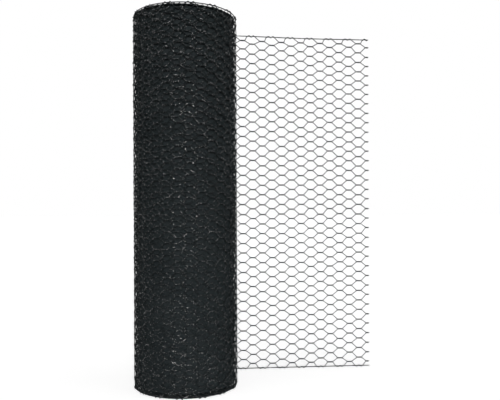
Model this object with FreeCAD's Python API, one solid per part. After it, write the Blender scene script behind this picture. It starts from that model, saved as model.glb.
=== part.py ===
"""Roll of coated hexagonal wire netting with a loose end, standing on its end.

Units are millimetres and +Z is up.  The origin is on the roll's axis, at the
surface that the roll stands on.  The loose end leaves the roll tangentially at
its back (+Y) and runs out towards +X.

The wound netting is one turned solid, and the rings on its ends are the edges
of its turns.  The loose end is flat netting: twisted pairs of wires in columns,
joined by slanting wires, between two selvedge wires.  Its bars are square, and
fused where they cross.
"""
import FreeCAD, Part

import math
import os

# --- driving dimensions -------------------------------------------------------

NETTING_WIDTH = 500.0      # over both selvedges: the height of the standing roll
ROLL_RADIUS = 70.7         # to the outside of the outermost turn
BORE_RADIUS = 23.0         # open middle of the roll
TURN_PITCH = 1.4           # from one turn to the next, measured outwards

WIRE = 1.2                 # mesh wire over its coating
SELVEDGE_WIRE = 1.4        # straight edge wire over its coating

MESH_ACROSS = 14.5         # nearly the step from twist to twist within a column
MESH_ALONG = 14.65         # from one column of twists to the next
TWIST_LENGTH = 8.06        # length of a twisted pair
WRAP_LENGTH = 16.4         # stretch of selvedge with a mesh wire wound round it
EDGE_CELL = 0.42           # height of a small edge cell, in steps across

LOOSE_LENGTH = 275.8       # from where the netting leaves the roll to its cut end
LOOSE_ANGLE = 4.66         # degrees that the loose end swings back from +X
CUT_STUB = 1.0             # what is left of the last twists past their middle

TURN_EDGE = 0.8            # width of a turn's edge where it shows at an end
EDGE_RELIEF = 3.0          # depth of the gaps between the turns at each end
OUTER_TURN_RISE = 2.5      # how far the outermost turn stands above the others

PANELS = ("loose_end_by_roll", "loose_end_middle", "loose_end_cut")

# --- sizes that follow from them ----------------------------------------------

# Columns are lowered and raised by turns.  A lowered column has its last twist
# just above the bottom selvedge, and a raised one its first just below the top
# selvedge.  Both hold the same number of twists.
SELVEDGE_SPAN = NETTING_WIDTH - SELVEDGE_WIRE
ROWS = round(SELVEDGE_SPAN / MESH_ACROSS - 2 * EDGE_CELL + 0.5)
STEP_ACROSS = SELVEDGE_SPAN / (ROWS - 0.5 + 2 * EDGE_CELL)
BOTTOM_SELVEDGE = SELVEDGE_WIRE / 2
TOP_SELVEDGE = NETTING_WIDTH - SELVEDGE_WIRE / 2
COLUMNS = math.ceil((LOOSE_LENGTH - CUT_STUB) / MESH_ALONG)
TURNS = round((ROLL_RADIUS - BORE_RADIUS) / TURN_PITCH)

# Bars of the loose end, each as wide as the wires that it stands for.
SLANT_BAR = WIRE
TWIST_BAR = 2 * WIRE
PLAIN_EDGE_BAR = SELVEDGE_WIRE
WRAPPED_EDGE_BAR = SELVEDGE_WIRE + 2 * WIRE


# --- the wound netting ----------------------------------------------------------

def turn_edges(inner_edge, outer_edge, root):
    """Outline (radius, height) of the turns' edges at one end of the roll.

    It runs outwards.  All turns end at inner_edge but the outermost, which
    ends at outer_edge, and the gaps between them reach to root.
    """
    step = (ROLL_RADIUS - BORE_RADIUS - TURN_EDGE) / (TURNS - 1)
    outline = []
    for turn in range(TURNS):
        inside = BORE_RADIUS + turn * step
        outside = inside + TURN_EDGE
        edge = outer_edge if turn == TURNS - 1 else inner_edge
        outline += [(inside, root), (inside, edge), (outside, edge), (outside, root)]
    # Neither the bore nor the outside wall has a gap beside it.
    return outline[1:-1]


def wound_roll():
    """The wound netting: one turned solid with its bore and its ringed ends."""
    inner_top = NETTING_WIDTH - OUTER_TURN_RISE
    top = turn_edges(inner_top, NETTING_WIDTH, inner_top - EDGE_RELIEF)
    bottom = turn_edges(0.0, 0.0, EDGE_RELIEF)
    outline = [FreeCAD.Vector(r, 0, z) for r, z in top + bottom[::-1]]
    profile = Part.Face(Part.makePolygon(outline + outline[:1]))
    return profile.revolve(FreeCAD.Vector(), FreeCAD.Vector(0, 0, 1), 360)


# --- the loose end --------------------------------------------------------------
#
# Netting coordinates: t runs along the netting from the point where it leaves
# the roll, and z across it.  Column 0 is at the cut end, and the columns count
# back towards the roll.  The even columns are lowered and the odd ones raised.

def column_t(column):
    return LOOSE_LENGTH - CUT_STUB - column * MESH_ALONG


def twist_z(column, row):
    """Height of a twist, with row 0 at the bottom."""
    raised = 0.5 if column % 2 else 0.0
    return BOTTOM_SELVEDGE + (EDGE_CELL + raised + row) * STEP_ACROSS


def inset(corners, bars):
    """Move each side of a polygon inwards by half of the bar that lies on it.

    Side i runs from corner i to the next one, and bars[i] is its bar's width.
    The corners go round anticlockwise.
    """
    sides = []
    for i, (x, z) in enumerate(corners):
        next_x, next_z = corners[(i + 1) % len(corners)]
        length = math.hypot(next_x - x, next_z - z)
        inward = (-(next_z - z) / length, (next_x - x) / length)
        sides.append((inward, inward[0] * x + inward[1] * z + bars[i] / 2))
    moved = []
    for i, ((a, b), reach) in enumerate(sides):
        (c, d), last_reach = sides[i - 1]
        area = a * d - b * c
        moved.append(((d * reach - b * last_reach) / area,
                      (a * last_reach - c * reach) / area))
    return moved


def half_cell(right_side, bottom_bar, top_bar):
    """Right half of a cell's open outline, from its lowest corner to its highest.

    right_side holds the middle lines' corners right of the column, upwards.
    """
    corners = right_side + [(-x, z) for x, z in reversed(right_side)]
    slants = [SLANT_BAR] * (len(right_side) - 1)
    return inset(corners, slants + [top_bar] + slants + [bottom_bar])[:len(right_side)]


def column_cells(column):
    """Right halves of the cells of one column, from the bottom to the top."""
    corner = TWIST_LENGTH / 2
    tip = MESH_ALONG - corner
    small_foot = MESH_ALONG - WRAP_LENGTH / 2
    large_foot = WRAP_LENGTH / 2
    twists = [twist_z(column, row) for row in range(ROWS)]
    below, above = twists[0] - STEP_ACROSS / 2, twists[-1] + STEP_ACROSS / 2

    cells = [half_cell([(corner, low), (tip, (low + high) / 2), (corner, high)],
                       TWIST_BAR, TWIST_BAR)
             for low, high in zip(twists, twists[1:])]
    if column % 2:
        first = half_cell([(large_foot, BOTTOM_SELVEDGE), (tip, below), (corner, twists[0])],
                          WRAPPED_EDGE_BAR, TWIST_BAR)
        last = half_cell([(corner, twists[-1]), (small_foot, TOP_SELVEDGE)],
                         TWIST_BAR, PLAIN_EDGE_BAR)
    else:
        first = half_cell([(small_foot, BOTTOM_SELVEDGE), (corner, twists[0])],
                          PLAIN_EDGE_BAR, TWIST_BAR)
        last = half_cell([(corner, twists[-1]), (tip, above), (large_foot, TOP_SELVEDGE)],
                         TWIST_BAR, WRAPPED_EDGE_BAR)
    return [first] + cells + [last]


def loose_point(t, z):
    """The point of the loose end's inner face at netting coordinates t, z."""
    angle = math.radians(LOOSE_ANGLE)
    return FreeCAD.Vector(t * math.cos(angle) - ROLL_RADIUS * math.sin(angle),
                          t * math.sin(angle) + ROLL_RADIUS * math.cos(angle), z)


def closed_wire(outline):
    points = [loose_point(t, z) for t, z in outline]
    return Part.makePolygon(points + points[:1])


def cut_edge(column, side):
    """Netting cut across a column's twists, as points from bottom to top.

    The netting lies right of the cut where side is +1, and left of it where
    side is -1.  Column 0 is cut a stub past its middle, and others at it.
    """
    t = column_t(column)
    cut = LOOSE_LENGTH if column == 0 else t
    edge = [(cut, 0.0)]
    for cell in column_cells(column):
        edge.append((cut, cell[0][1]))
        edge += [(t + side * x, z) for x, z in cell]
        edge.append((cut, cell[-1][1]))
    return edge + [(cut, NETTING_WIDTH)]


def loose_panel(first, last):
    """The loose end between two columns, cut across the middle of their twists."""
    outline = cut_edge(first, +1) + cut_edge(last, -1)[::-1]
    wires = [closed_wire(outline)]
    for column in range(last + 1, first):
        t = column_t(column)
        for cell in column_cells(column):
            right = [(t + x, z) for x, z in cell]
            left = [(t - x, z) for x, z in reversed(cell)]
            wires.append(closed_wire(right + left))
    face = Part.makeFace(Part.makeCompound(wires), "Part::FaceMakerBullseye")
    angle = math.radians(LOOSE_ANGLE)
    outwards = FreeCAD.Vector(-math.sin(angle), math.cos(angle), 0)
    return face.extrude(outwards * WIRE)


# --- the nodes --------------------------------------------------------------------

def nodes():
    """Each node's name and solid."""
    yield "wound_roll", wound_roll()
    cuts = [round(COLUMNS * (1 - i / len(PANELS))) for i in range(len(PANELS) + 1)]
    for name, first, last in zip(PANELS, cuts, cuts[1:]):
        yield name, loose_panel(first, last)


os.makedirs("parts", exist_ok=True)
for name, shape in nodes():
    solid, = shape.Solids
    solid.exportStep(f"parts/{name}.step")
    print(f"{name}: {solid.Volume / 1000:.1f} cm3, valid {solid.isValid()}")
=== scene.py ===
"""Looks of a roll of coated hexagonal wire netting with a loose end.

Everything is in metres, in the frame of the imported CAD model: the roll's axis is
x = y = 0, the roll stands on z = 0, and the loose end leaves it at the back (+Y)
and runs towards +X.

All wires are made in netting coordinates: s along the netting from the line where
it leaves the roll (positive on the loose end, negative on the roll), z across it,
and n off its surface, outwards.  place() bends those coordinates round the roll.
Column 0 of the twists is at the cut end, and row 0 at the top.

The outer turns and the innermost one are wires from edge to edge.  The turns in
between show only their ends, so only their edges are wires, around one turned
solid, packed_turns, that stands for the rest.
"""

import math

import bpy
import numpy as np
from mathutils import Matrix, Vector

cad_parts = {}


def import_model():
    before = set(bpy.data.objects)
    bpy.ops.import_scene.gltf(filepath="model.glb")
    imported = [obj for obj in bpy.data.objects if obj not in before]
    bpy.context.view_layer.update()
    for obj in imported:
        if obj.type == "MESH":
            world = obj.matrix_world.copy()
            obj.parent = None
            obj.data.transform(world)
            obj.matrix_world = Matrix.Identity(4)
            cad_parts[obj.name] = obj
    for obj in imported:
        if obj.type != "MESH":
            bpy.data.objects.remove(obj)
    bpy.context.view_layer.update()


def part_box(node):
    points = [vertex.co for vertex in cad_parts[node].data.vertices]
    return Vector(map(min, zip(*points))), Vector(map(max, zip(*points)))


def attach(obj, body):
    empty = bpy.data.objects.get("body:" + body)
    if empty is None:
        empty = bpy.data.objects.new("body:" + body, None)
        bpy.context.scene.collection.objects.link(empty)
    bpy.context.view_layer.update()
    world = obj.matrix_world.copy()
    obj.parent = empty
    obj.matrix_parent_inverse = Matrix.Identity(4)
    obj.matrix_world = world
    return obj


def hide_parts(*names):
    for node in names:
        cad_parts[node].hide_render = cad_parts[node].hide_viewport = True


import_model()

MM = 0.001

# --- sizes of the netting -----------------------------------------------------

WIRE = 1.2 * MM                 # mesh wire over its coating
SELVEDGE_WIRE = 1.4 * MM        # straight edge wire over its coating
MESH_ALONG = 14.65 * MM         # from one column of twists to the next
TWIST_LENGTH = 8.06 * MM        # length of a twisted pair
TWIST_TURNS = 1.5               # turns of a twisted pair
WRAP_LENGTH = 13.5 * MM         # stretch of selvedge with a mesh wire round it
WRAP_SHIFT = (-1.8 * MM, -0.7 * MM)     # of the wraps along the top and bottom selvedge
ROWS = 34                       # twists in each column
EDGE_CELL = 0.35                # from a selvedge to the first row, in steps
EDGE_TUCK = (0.09, 0.05)        # how much further in the top and bottom rows sit
LOWERED_SHIFT = 0.045           # how much too high the lowered columns sit, in steps
TURNS = 34                      # turns of netting on the roll
BORE_RADIUS = 23.0 * MM
SHOWN_TURNS = 4                 # outer turns made of wires from edge to edge
PACKED_TURNS = 2.6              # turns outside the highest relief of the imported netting
EDGE_LANES = 3                  # wires made at each edge of the turns inside them
PACKED_DEPTH = 6.0 * MM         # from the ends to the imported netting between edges
LATTICE_JITTER = (0.25 * MM, 0.25 * MM, 0.12 * MM)      # along s, z and n
CUT_STUB = 1.0 * MM             # what is left of the last twists past their middle
CLEARANCE = 0.05 * MM           # room for uneven wires inside the roll's radius
CUT_CLEARANCE = 0.9 * MM        # room for slanting wires at the cut
SELVEDGE_SET = 0.6 * MM         # how much further in than the mesh a selvedge lies
SELVEDGE_SEGMENT = 4.5 * MM     # longest straight stretch of a selvedge wire
SEED = 7
RELIEF_AROUND, RELIEF_UP = 300, 290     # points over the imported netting's wall
RELIEF_LAYERS = 3               # layers of wires pressed into that wall

# --- coating --------------------------------------------------------------------

WIRE_TONES = ((0.0085, 0.0112, 0.0118, 1), (0.0115, 0.0148, 0.0156, 1))
# The packed turns' tones are lighter than the wires' tones: painted light that makes up for the
# shade deep inside the packed netting.
PACKED_TONES_LIFTED_BY_PAINTED_LIGHT = ((0.0125, 0.0162, 0.0172, 1), (0.0155, 0.0195, 0.0206, 1))
TONE_SCALE = 18.0               # of the noise between a dark and a light tone
PATCH_SCALE = 700.0             # of the noise that places the smooth patches
SKIN_SCALE = 900.0              # of the bumps in the coating

# --- light and camera -----------------------------------------------------------

WORLD_LIGHT = 0.15
FLOOR_GLOW = 0.62               # that lifts the lit floor to white in the picture
FLOOR_REACH = 40.0
CAMERA_PLACE = (0.0881, -0.8122, 0.2335)
CAMERA_LENS = 42.8
CAMERA_SHIFT = 0.0263
CAMERA_ROLL = 0.217             # degrees

# --- sizes from the frame -------------------------------------------------------

roll_low, roll_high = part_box("wound_roll")
ROLL_RADIUS = roll_high.x
HEIGHT = roll_high.z
cut_low, cut_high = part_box("loose_end_cut")
LOOSE_LENGTH = math.sqrt(cut_high.x ** 2 + cut_high.y ** 2 - (ROLL_RADIUS + WIRE) ** 2)
LOOSE_ANGLE = (math.atan2(cut_high.y, cut_high.x)
               - math.atan2(ROLL_RADIUS + WIRE, LOOSE_LENGTH))

# --- sizes that follow ------------------------------------------------------------

SURFACE = ROLL_RADIUS - WIRE - CLEARANCE    # middle of the netting where it leaves
TOP = HEIGHT - WIRE - SELVEDGE_WIRE / 2     # middle of the top selvedge
BOTTOM = WIRE + SELVEDGE_WIRE / 2
STEP = (TOP - BOTTOM) / (ROWS - 0.5 + 2 * EDGE_CELL)
PITCH = (SURFACE - BORE_RADIUS - WIRE) / TURNS      # from one turn to the next
FULL_TURN = 2 * math.pi


def radius_at(theta):
    """Radius of the netting's middle, theta round from where it leaves the roll."""
    return SURFACE - PITCH * theta / FULL_TURN


STEPS_PER_TURN = 200
ANGLES = np.linspace(0, TURNS * FULL_TURN, STEPS_PER_TURN * TURNS)
WOUND = np.cumsum(np.diff(ANGLES) * radius_at((ANGLES[1:] + ANGLES[:-1]) / 2))
WOUND = np.concatenate([[0], WOUND])        # length wound at each of those angles
FIRST_COLUMN = LOOSE_LENGTH - CUT_STUB - CUT_CLEARANCE
COLUMNS = int((FIRST_COLUMN + WOUND[-1]) / MESH_ALONG)
COLUMN_S = FIRST_COLUMN - MESH_ALONG * np.arange(COLUMNS + 1)


# --- where the netting lies ---------------------------------------------------------

def ramp(value, low, high):
    """Smooth step from 0 at low to 1 at high."""
    t = np.clip((value - low) / (high - low), 0.0, 1.0)
    return t * t * (3 - 2 * t)


def slack(theta):
    """How far the outer turns stand off the roll, most at its right."""
    right = 0.5 + 0.5 * np.cos(theta - 4.7)
    outer = np.exp(-np.maximum(theta - 4.7, 0) / 14.0)
    return 1.1 * MM * right * outer * ramp(theta, 0.5, 4.0)


def settle(theta, z):
    """How far the turns' wires lie from where a straight roll has them."""
    inner = ramp(theta, 5.0, 6.6)
    left = 0.5 + 0.5 * np.cos(theta - 1.3)
    outer = np.exp(-np.maximum(theta - 6.6, 0) / 9.0)
    drop = MM * inner * (0.9 + 2.1 * outer) * (1 - 0.75 * left)
    lift = MM * inner * (0.3 + 0.2 * np.sin(0.53 * theta))
    return lift * (1 - z / HEIGHT) - drop * z / HEIGHT


def sag(s, z):
    """How far the loose end's upper rows hang down towards the cut."""
    upper = ramp(z, HEIGHT - 100 * MM, HEIGHT - 30 * MM)
    return 2.3 * MM * upper * ramp(s, 0.2 * LOOSE_LENGTH, 0.75 * LOOSE_LENGTH)


def place(points):
    """Points (x, y, z) of netting coordinates (s, z, n)."""
    s, z, n = np.moveaxis(points, -1, 0)
    theta = np.interp(np.maximum(-s, 0.0), WOUND, ANGLES)
    reach = radius_at(theta) + slack(theta) + n
    angle = math.pi / 2 + LOOSE_ANGLE + theta
    loose = np.maximum(s, 0.0)
    x = reach * np.cos(angle) + loose * math.cos(LOOSE_ANGLE)
    y = reach * np.sin(angle) + loose * math.sin(LOOSE_ANGLE)
    return np.stack([x, y, z + settle(theta, z) - sag(s, z)], axis=-1)


# --- the lattice ------------------------------------------------------------------------

def lattice():
    """Netting coordinates (column, row, 3) of the middles of all the twists."""
    random = np.random.default_rng(SEED)
    middles = random.normal(0.0, LATTICE_JITTER, (COLUMNS + 1, ROWS, 3))
    raised = (np.arange(COLUMNS + 1) % 2 == 1)[:, None]
    row = np.arange(ROWS)[None, :]
    down = EDGE_CELL + row + np.where(raised, 0.0, 0.5 - LOWERED_SHIFT)
    down = down + np.where(raised & (row == 0), EDGE_TUCK[0], 0.0)
    down = down - np.where(~raised & (row == ROWS - 1), EDGE_TUCK[1], 0.0)
    middles[0, :, 0] = -np.abs(middles[0, :, 0])
    middles[..., 0] += COLUMN_S[:, None]
    middles[..., 1] += TOP - down * STEP
    return middles


MIDDLES = lattice()
ALONG, ACROSS, OFF = np.eye(3)

# A wire that slants across the gap between two columns is in one of 69 lanes,
# counted from the top.  At a raised column, lanes 0 and 1 meet in its first twist,
# and so on, and the last lane goes round the bottom selvedge.  At a lowered column,
# lane 0 goes round the top selvedge, and lanes 1 and 2 meet in its first twist.
LANES = 2 * ROWS + 1


def turns_in_column(column, points, turns, begin=0.0, end=1.0):
    """Paths of all wires through one column, from the roll towards the cut end.

    Returns an array (lane, point, 3), with the lanes as they are on the roll's
    side, and the lane that each wire is in afterwards.  turns is how often a pair
    is twisted, and begin and end are the parts of the way at which a cut wire
    starts or stops.
    """
    raised = column % 2 == 1
    way = np.linspace(begin, end, points)
    paths = np.empty((LANES, points, 3))
    after = np.arange(LANES)
    first = 0 if raised else 1
    upper = first + 2 * np.arange(ROWS)

    turn = FULL_TURN * turns * way
    half = WIRE / 2 * (np.cos(turn)[:, None] * ACROSS + np.sin(turn)[:, None] * OFF)
    centre = MIDDLES[column][:, None] + ((way - 0.5) * TWIST_LENGTH)[:, None] * ALONG
    paths[upper] = centre + half
    paths[upper + 1] = centre - half
    if turns % 1:
        after[upper], after[upper + 1] = upper + 1, upper

    # The one wire that is left goes round the selvedge, from its inner side.
    lane = LANES - 1 if raised else 0
    if raised:
        edge, inwards, shift = BOTTOM, 1, WRAP_SHIFT[1]
    else:
        edge, inwards, shift = TOP, -1, WRAP_SHIFT[0]
    turn = FULL_TURN * math.ceil(turns) * way
    reach = (WIRE + SELVEDGE_WIRE) / 2
    paths[lane, :, 0] = COLUMN_S[column] + shift + (way - 0.5) * WRAP_LENGTH
    paths[lane, :, 1] = edge + inwards * reach * np.cos(turn)
    paths[lane, :, 2] = reach * np.sin(turn) - SELVEDGE_SET
    return paths, after


def mesh_wires(first, last, points, turns):
    """Paths of all mesh wires from column last, nearer the bore, to column first.

    Where the netting goes on past those columns, the wires end halfway to the next.
    """
    lanes = np.arange(LANES)
    stub = CUT_STUB / TWIST_LENGTH
    parts = []
    if last < COLUMNS:
        parts.append(halfway(last, lanes, turns))
    for column in range(last, first - 1, -1):
        begin = 0.5 - stub if column == COLUMNS else 0.0
        end = 0.5 + stub if column == 0 else 1.0
        paths, after = turns_in_column(column, points, turns, begin, end)
        parts.append(paths[lanes])
        lanes = after[lanes]
    if first > 0:
        parts.append(halfway(first - 1, lanes, turns))
    return np.concatenate(parts, axis=1)


def halfway(column, lanes, turns):
    """Points halfway between a column and the next one towards the bore, by lane."""
    near = turns_in_column(column, 2, turns)[0][:, :1]
    paths, after = turns_in_column(column + 1, 2, turns)
    far = np.empty_like(near)
    far[after] = paths[:, 1:]
    return ((near + far) / 2)[lanes]


def selvedge_wires(first, last):
    """Paths of the two selvedge wires over the same columns."""
    begin = COLUMN_S[last] - (CUT_STUB if last == COLUMNS else MESH_ALONG / 2)
    end = COLUMN_S[first] + (CUT_STUB if first == 0 else MESH_ALONG / 2)
    count = 1 + int((end - begin) / SELVEDGE_SEGMENT)
    s = np.linspace(begin, end, count)
    paths = np.zeros((2, count, 3))
    paths[..., 0] = s
    paths[..., 2] = -SELVEDGE_SET
    paths[0, :, 1] = TOP
    paths[1, :, 1] = BOTTOM
    return paths


# --- tubes ----------------------------------------------------------------------------------

class Tubes:
    """Round tubes with one number of sides, joined into one mesh."""

    def __init__(self, sides):
        self.sides = sides
        self.vertices = []
        self.quads = []
        self.caps = []
        self.count = 0

    def add(self, paths, radius):
        """Add tubes along paths, an array (tube, point, 3) in netting coordinates."""
        run = np.diff(paths, axis=1)
        run /= np.linalg.norm(run, axis=2, keepdims=True)
        tangent = np.concatenate([run[:, :1], run[:, :-1] + run[:, 1:], run[:, -1:]], axis=1)
        tangent /= np.linalg.norm(tangent, axis=2, keepdims=True)
        side = np.cross(tangent, OFF)
        side /= np.linalg.norm(side, axis=2, keepdims=True)
        up = np.cross(side, tangent)
        turn = FULL_TURN * np.arange(self.sides) / self.sides
        rings = (paths[:, :, None]
                 + radius * np.cos(turn)[:, None] * side[:, :, None]
                 + radius * np.sin(turn)[:, None] * up[:, :, None])
        shape = rings.shape[:3]
        index = self.count + np.arange(np.prod(shape)).reshape(shape)
        beside = np.roll(index, -1, axis=2)
        quads = np.stack([index[:, :-1], index[:, 1:], beside[:, 1:], beside[:, :-1]], -1)
        self.vertices.append(rings.reshape(-1, 3))
        self.quads.append(quads.reshape(-1, 4))
        self.caps += [index[:, 0], index[:, -1, ::-1]]
        self.count += index.size

    def piece(self, name, material):
        """The joined tubes as an object, bent round the roll."""
        vertices = place(np.concatenate(self.vertices))
        quads = np.concatenate(self.quads)
        caps = np.concatenate(self.caps)
        corners = np.concatenate([quads.ravel(), caps.ravel()])
        sizes = np.concatenate([np.full(len(quads), 4), np.full(len(caps), self.sides)])
        starts = np.concatenate([[0], np.cumsum(sizes)[:-1]])
        mesh = bpy.data.meshes.new(name)
        mesh.vertices.add(len(vertices))
        mesh.vertices.foreach_set("co", vertices.astype(np.float32).ravel())
        mesh.loops.add(len(corners))
        mesh.loops.foreach_set("vertex_index", corners.astype(np.int32))
        mesh.polygons.add(len(sizes))
        mesh.polygons.foreach_set("loop_start", starts.astype(np.int32))
        mesh.polygons.foreach_set("use_smooth", np.ones(len(sizes), bool))
        mesh.update(calc_edges=True)
        mesh.validate()
        mesh.materials.append(material)
        piece = bpy.data.objects.new(name, mesh)
        bpy.context.scene.collection.objects.link(piece)
        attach(piece, "root")
        return piece


def column_at(turns):
    """The last column that lies outside a number of turns."""
    length = np.interp(turns * FULL_TURN, ANGLES, WOUND)
    return min(COLUMNS, int((FIRST_COLUMN + length) / MESH_ALONG))


def netting_pieces(material):
    """The netting as joined meshes, finer where it shows more.

    Each row gives a name, how many turns lie outside its end, how many sides its
    wires have, how many points a twist has, and how often its pairs are twisted.
    """
    plan = [("loose_netting", 0.0, 6, 10, TWIST_TURNS),
            ("outermost_turn_left", 0.5, 5, 10, TWIST_TURNS),
            ("outermost_turn_right", 1.0, 5, 10, TWIST_TURNS),
            ("second_turn", 2.0, 4, 7, TWIST_TURNS),
            ("third_turn", 3.0, 3, 5, 1),
            ("outer_turns", SHOWN_TURNS, 3, 3, 1),
            ("inner_turns_edges", TURNS - 1, 3, 5, 1),
            ("innermost_turn", TURNS, 4, 7, TWIST_TURNS)]
    first = 0
    for name, outside, sides, points, turns in plan:
        last = column_at(outside)
        paths = mesh_wires(first, last, points, turns)
        if name == "inner_turns_edges":
            paths = np.concatenate([paths[:EDGE_LANES], paths[-EDGE_LANES:]])
        tubes = Tubes(sides)
        tubes.add(paths, WIRE / 2)
        tubes.add(selvedge_wires(first, last), SELVEDGE_WIRE / 2)
        piece = tubes.piece(name, material)
        if name == "loose_netting":
            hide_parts("loose_end_by_roll", "loose_end_middle", "loose_end_cut")
        else:
            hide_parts("wound_roll")
        first = last + 1


def packed_turns(material):
    """The tightly packed netting between the outer turns and the innermost one.

    It is a turned solid whose outer wall is pressed into the relief of its wires.
    """
    outer = radius_at(PACKED_TURNS * FULL_TURN)
    inner = BORE_RADIUS + 2 * WIRE + PITCH
    low, high = PACKED_DEPTH, HEIGHT - PACKED_DEPTH
    around = np.linspace(0, FULL_TURN, RELIEF_AROUND, endpoint=False)
    up = np.linspace(low, high, RELIEF_UP)
    angle, z = np.meshgrid(around, up)
    wall = outer - wire_relief(angle * outer, z)
    rows = [np.stack([wall * np.cos(angle), wall * np.sin(angle), z], -1)]
    for radius, height in ((inner, high), (inner, low)):
        ring = [radius * np.cos(around), radius * np.sin(around), np.full_like(around, height)]
        rows.append(np.stack(ring, -1)[None])
    vertices = np.concatenate(rows)
    index = np.arange(vertices[..., 0].size).reshape(vertices.shape[:2])
    index = np.concatenate([index, index[:1]])
    beside = np.roll(index, -1, axis=1)
    quads = np.stack([index[:-1], beside[:-1], beside[1:], index[1:]], -1).reshape(-1, 4)
    mesh = bpy.data.meshes.new("packed_turns")
    mesh.from_pydata(vertices.reshape(-1, 3).tolist(), [], quads.tolist())
    mesh.materials.append(material)
    piece = bpy.data.objects.new("packed_turns", mesh)
    bpy.context.scene.collection.objects.link(piece)
    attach(piece, "root")
    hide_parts("wound_roll")


def wire_relief(s, z):
    """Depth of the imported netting's wall at s round it and z up it.

    Several layers of mesh lie on each other, each shifted its own way, and the
    nearest wire to the outside shows.
    """
    random = np.random.default_rng(SEED + 1)
    depth = np.full(s.shape, RELIEF_LAYERS * WIRE)
    for layer in range(RELIEF_LAYERS):
        shift_s, shift_z = random.uniform(0, 1, 2)
        u = (s / MESH_ALONG + shift_s) % 2
        v = z / STEP + shift_z + 0.5 * (u >= 1)
        u = u % 1
        twist = TWIST_LENGTH / MESH_ALONG
        slant = np.clip((np.abs(u - 0.5) - twist / 2) / (1 - twist), 0, 0.5)
        off = np.abs((v + 0.5) % 1 - 0.5)
        gap = np.abs(off - slant / 2) * STEP
        depth = np.minimum(depth, layer * WIRE + np.minimum(gap, WIRE))
    return depth


# --- materials ------------------------------------------------------------------------------

def node(tree, kind, **inputs):
    """A shader node with some of its inputs set by name."""
    new = tree.nodes.new(kind)
    for name, value in inputs.items():
        new.inputs[name.replace("_", " ")].default_value = value
    return new


def coated_wire(name, dark, light, smooth):
    """Very dark green plastic coating, between dark and light in colour.

    It is matt but for small smooth patches that glint, and smooth is the weight of
    their clear coat.
    """
    material = bpy.data.materials.new(name)
    material.use_nodes = True
    tree = material.node_tree
    link = tree.links.new
    shader = tree.nodes["Principled BSDF"]
    shader.inputs["IOR"].default_value = 1.5
    shader.inputs["Specular IOR Level"].default_value = 0.03
    shader.inputs["Coat IOR"].default_value = 2.2
    shader.inputs["Coat Roughness"].default_value = 0.13
    place_node = tree.nodes.new("ShaderNodeTexCoord")

    batch = node(tree, "ShaderNodeTexNoise", Scale=TONE_SCALE, Detail=3.0)
    link(place_node.outputs["Object"], batch.inputs["Vector"])
    tone = tree.nodes.new("ShaderNodeValToRGB")
    tone.color_ramp.elements[0].position = 0.3
    tone.color_ramp.elements[0].color = dark
    tone.color_ramp.elements[1].position = 0.7
    tone.color_ramp.elements[1].color = light
    link(batch.outputs["Fac"], tone.inputs["Fac"])
    link(tone.outputs["Color"], shader.inputs["Base Color"])

    patches = node(tree, "ShaderNodeTexNoise", Scale=PATCH_SCALE, Detail=1.0)
    link(place_node.outputs["Object"], patches.inputs["Vector"])
    for target, low, high in (("Coat Weight", 0.0, smooth), ("Roughness", 0.7, 0.4)):
        change = node(tree, "ShaderNodeMapRange", From_Min=0.58, From_Max=0.63,
                      To_Min=low, To_Max=high)
        link(patches.outputs["Fac"], change.inputs["Value"])
        link(change.outputs["Result"], shader.inputs[target])

    skin = node(tree, "ShaderNodeTexNoise", Scale=SKIN_SCALE, Detail=2.0)
    link(place_node.outputs["Object"], skin.inputs["Vector"])
    bump = node(tree, "ShaderNodeBump", Strength=0.6, Distance=0.0002)
    link(skin.outputs["Fac"], bump.inputs["Height"])
    link(bump.outputs["Normal"], shader.inputs["Normal"])
    link(bump.outputs["Normal"], shader.inputs["Coat Normal"])
    return material


# --- stage, light and camera ------------------------------------------------------------------

def seen_directly(tree):
    """A socket that is 1 for camera, glossy and transmission rays, and 0 for others."""
    rays = tree.nodes.new("ShaderNodeLightPath")
    socket = rays.outputs["Is Camera Ray"]
    for name in ("Is Glossy Ray", "Is Transmission Ray"):
        both = tree.nodes.new("ShaderNodeMath")
        both.operation = "MAXIMUM"
        tree.links.new(socket, both.inputs[0])
        tree.links.new(rays.outputs[name], both.inputs[1])
        socket = both.outputs[0]
    return socket


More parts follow.
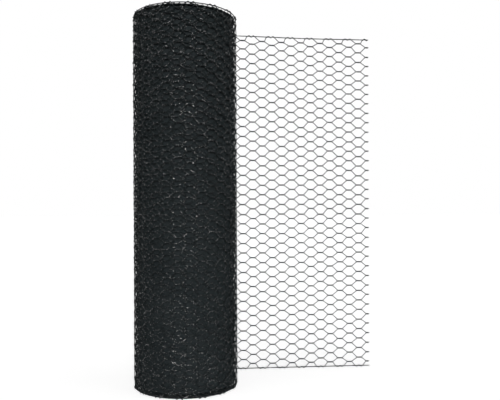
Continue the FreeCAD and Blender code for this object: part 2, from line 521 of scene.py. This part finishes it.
def floor():
    """A plain pale floor, white to the camera where no shadow falls."""
    mesh = bpy.data.meshes.new("floor")
    corners = [(x * FLOOR_REACH, y * FLOOR_REACH, 0)
               for x, y in ((-1, -1), (1, -1), (1, 1), (-1, 1))]
    mesh.from_pydata(corners, [], [(0, 1, 2, 3)])
    plane = bpy.data.objects.new("floor", mesh)
    bpy.context.scene.collection.objects.link(plane)
    material = bpy.data.materials.new("floor")
    material.use_nodes = True
    tree = material.node_tree
    shader = tree.nodes["Principled BSDF"]
    shader.inputs["Base Color"].default_value = (0.8, 0.8, 0.8, 1)
    shader.inputs["Roughness"].default_value = 0.9
    shader.inputs["Specular IOR Level"].default_value = 0.0
    glow = tree.nodes.new("ShaderNodeEmission")
    lift = node(tree, "ShaderNodeMath")
    lift.operation = "MULTIPLY"
    lift.inputs[1].default_value = FLOOR_GLOW
    both = tree.nodes.new("ShaderNodeAddShader")
    output = tree.nodes["Material Output"]
    tree.links.new(seen_directly(tree), lift.inputs[0])
    tree.links.new(lift.outputs[0], glow.inputs["Strength"])
    tree.links.new(shader.outputs[0], both.inputs[0])
    tree.links.new(glow.outputs[0], both.inputs[1])
    tree.links.new(both.outputs[0], output.inputs["Surface"])
    mesh.materials.append(material)


def world():
    """Even dim light from all round, and plain white behind the object."""
    scene = bpy.context.scene
    scene.world = bpy.data.worlds.new("world")
    scene.world.use_nodes = True
    tree = scene.world.node_tree
    background = tree.nodes["Background"]
    background.inputs["Color"].default_value = (1, 1, 1, 1)
    strength = node(tree, "ShaderNodeMapRange", To_Min=WORLD_LIGHT, To_Max=1.0)
    tree.links.new(seen_directly(tree), strength.inputs["Value"])
    tree.links.new(strength.outputs["Result"], background.inputs["Strength"])


def lamp(name, azimuth, elevation, strength, spread):
    """A far soft lamp: azimuth 0 is at the camera's side, and 90 at +X."""
    data = bpy.data.lights.new(name, "SUN")
    data.energy = strength * math.pi
    data.angle = math.radians(spread)
    light = bpy.data.objects.new(name, data)
    light.rotation_euler = (math.radians(90 - elevation), 0, math.radians(azimuth))
    bpy.context.scene.collection.objects.link(light)


def camera():
    data = bpy.data.cameras.new("camera")
    data.sensor_width = 36.0
    data.lens = CAMERA_LENS
    data.shift_y = CAMERA_SHIFT
    data.clip_start = 0.01
    eye = bpy.data.objects.new("camera", data)
    eye.location = CAMERA_PLACE
    eye.rotation_euler = (math.radians(90), math.radians(CAMERA_ROLL), 0)
    bpy.context.scene.collection.objects.link(eye)
    bpy.context.scene.camera = eye


netting_pieces(coated_wire("coated_wire", *WIRE_TONES, 1.0))
# The packed turns get lighter tones than the wires, painted light against the shade among the
# packed turns.
packed_turns(coated_wire("packed_wire_painted_light", *PACKED_TONES_LIFTED_BY_PAINTED_LIGHT, 0.0))
floor()
world()
lamp("front_softbox", 8, 18, 0.25, 40)
lamp("front_spot", 7, 12, 0.8, 16)
lamp("left_fill", -65, 35, 0.12, 60)
lamp("right_fill", 75, 35, 0.14, 60)
camera()
bpy.context.scene.view_settings.view_transform = "Standard"
